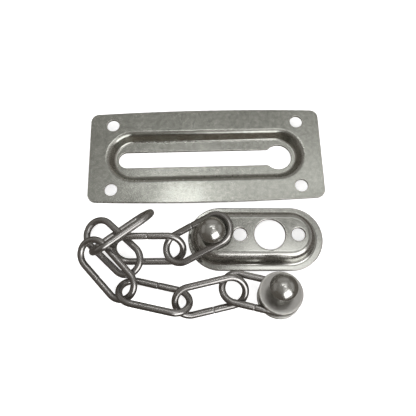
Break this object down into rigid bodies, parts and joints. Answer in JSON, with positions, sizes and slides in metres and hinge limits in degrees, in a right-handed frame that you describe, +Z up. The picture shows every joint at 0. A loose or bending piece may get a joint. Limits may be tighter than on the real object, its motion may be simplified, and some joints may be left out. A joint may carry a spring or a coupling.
{
  "type": "door chain guard",
  "caption": "Door chain guard with a keyhole slot plate, a raised anchor plate, and a chain of links from its domed stud to a double-disc knob.",
  "frame": {"origin": "the plane of the anchor plate's back, below the middle of its raised face", "axes": "+X along both plates, away from the chain's stud; +Y from the anchor plate to the keyhole plate; +Z up, out of the anchor plate's face"},
  "size_m": [0.102, 0.0911, 0.0184],
  "materials": {
    "plate": "satin nickel plated steel, lightly marked",
    "rivet": "polished nickel plated steel",
    "chain": "bright nickel plated wire, darker than the plates",
    "disc": "satin nickel plated steel"
  },
  "bodies": {
    "anchor": {"anchor_plate": "plate", "anchor_stud": "rivet"},
    "keyhole_plate": {"keyhole_plate": "plate"},
    "link_1": {"link_1": "chain"},
    "link_2": {"link_2": "chain"},
    "link_3": {"link_3": "chain"},
    "link_4": {"link_4": "chain"},
    "link_5": {"link_5": "chain"},
    "link_6": {"link_6": "chain"},
    "link_7": {"link_7": "chain"},
    "link_8": {"link_8": "chain"},
    "knob": {"knob_rivet": "rivet", "knob_upper_disc": "disc", "knob_lower_disc": "disc"}
  },
  "joints": [
    {"name": "keyhole_plate_lift", "type": "slide", "parent": "anchor", "child": "keyhole_plate", "axis": [0, 0, 1], "range_m": [0, 0.06]},
    {"name": "link_1_swivel", "type": "hinge", "parent": "anchor", "child": "link_1", "pos_m": [-0.0175, 0, 0.0108], "axis": [0, 0, -1], "range_deg": [0, 4]},
    {"name": "link_2_swivel", "type": "hinge", "parent": "link_1", "child": "link_2", "pos_m": [-0.0353, -0.0077, 0.0049], "axis": [0, 0, -1], "range_deg": [0, 12]},
    {"name": "link_3_swivel", "type": "hinge", "parent": "link_2", "child": "link_3", "pos_m": [-0.0522, -0.0098, 0.0063], "axis": [0, 0, -1], "range_deg": [0, 8]},
    {"name": "link_4_swivel", "type": "hinge", "parent": "link_3", "child": "link_4", "pos_m": [-0.0565, 0.0021, 0.0046], "axis": [0, 0, -1], "range_deg": [0, 12]},
    {"name": "link_5_swivel", "type": "hinge", "parent": "link_4", "child": "link_5", "pos_m": [-0.064, -0.008, 0.0107], "axis": [0, 0, -1], "range_deg": [0, 30]},
    {"name": "link_6_swivel", "type": "hinge", "parent": "link_5", "child": "link_6", "pos_m": [-0.0515, -0.023, 0.006], "axis": [0, 0, -1], "range_deg": [0, 30]},
    {"name": "link_7_swivel", "type": "hinge", "parent": "link_6", "child": "link_7", "pos_m": [-0.029, -0.0275, 0.0047], "axis": [0, 0, -1], "range_deg": [0, 30]},
    {"name": "link_8_swivel", "type": "hinge", "parent": "link_7", "child": "link_8", "pos_m": [-0.009, -0.0205, 0.0057], "axis": [0, 0, -1], "range_deg": [-6, 30]},
    {"name": "knob_spin", "type": "hinge", "parent": "link_8", "child": "knob", "pos_m": [0.0092, -0.0245, 0.0016], "axis": [0.0344, 0.1736, 0.9842], "continuous": true}
  ]
}
